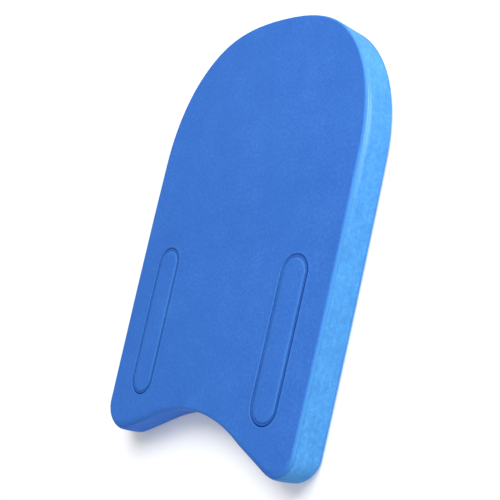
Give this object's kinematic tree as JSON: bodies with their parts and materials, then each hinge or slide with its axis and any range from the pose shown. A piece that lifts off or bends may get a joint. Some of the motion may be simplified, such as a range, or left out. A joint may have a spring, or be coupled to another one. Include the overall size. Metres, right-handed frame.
{
  "type": "kickboard float",
  "caption": "Flat foam swimming kickboard with an arched nose, a curved notch in the tail and slot-shaped grip pads let into its front face.",
  "frame": {"origin": "under the middle of the board's length and width, on the plane it lies on", "axes": "+X across the board to the right when the grip face is seen with the nose up, +Y along the board to the arched nose, +Z out of the grip face"},
  "size_m": [0.295, 0.431, 0.035],
  "materials": {
    "core_foam": "closed-cell foam, sawn and buffed edge, matt, royal blue",
    "sheet_foam": "closed-cell foam sheet, fine pressed skin, matt to soft satin, royal blue",
    "grip_foam": "closed-cell foam sheet, fine pressed skin, matt to soft satin, royal blue"
  },
  "bodies": {
    "root": {"foam_core": "core_foam", "front_sheet": "sheet_foam", "back_sheet": "sheet_foam", "left_grip_pad": "grip_foam", "right_grip_pad": "grip_foam"}
  },
  "joints": []
}
